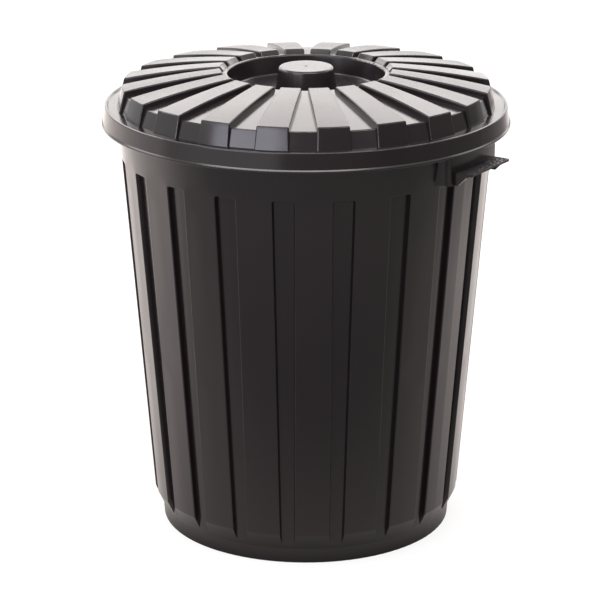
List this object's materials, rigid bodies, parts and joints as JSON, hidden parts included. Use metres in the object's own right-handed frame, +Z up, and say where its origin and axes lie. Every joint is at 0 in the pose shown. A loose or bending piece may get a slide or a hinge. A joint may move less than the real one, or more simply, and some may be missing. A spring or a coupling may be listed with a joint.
{
  "type": "trash can",
  "caption": "Round tapered plastic bin with upright flutes, moulded-in grips and a loose domed lid with raised segments around a sunken knob.",
  "frame": {"origin": "on the floor, under the middle of the tub", "axes": "+Z up along the axis of the tub, +X through one grip"},
  "size_m": [0.55, 0.526, 0.6085],
  "materials": {
    "tub_plastic": "satin moulded polypropylene",
    "lid_plastic": "satin moulded polypropylene"
  },
  "bodies": {
    "tub": {"tub": "tub_plastic"},
    "lid": {"lid": "lid_plastic"}
  },
  "joints": [
    {"name": "lid_lift", "type": "slide", "parent": "tub", "child": "lid", "axis": [0, 0, 1], "range_m": [0, 0.2]}
  ]
}
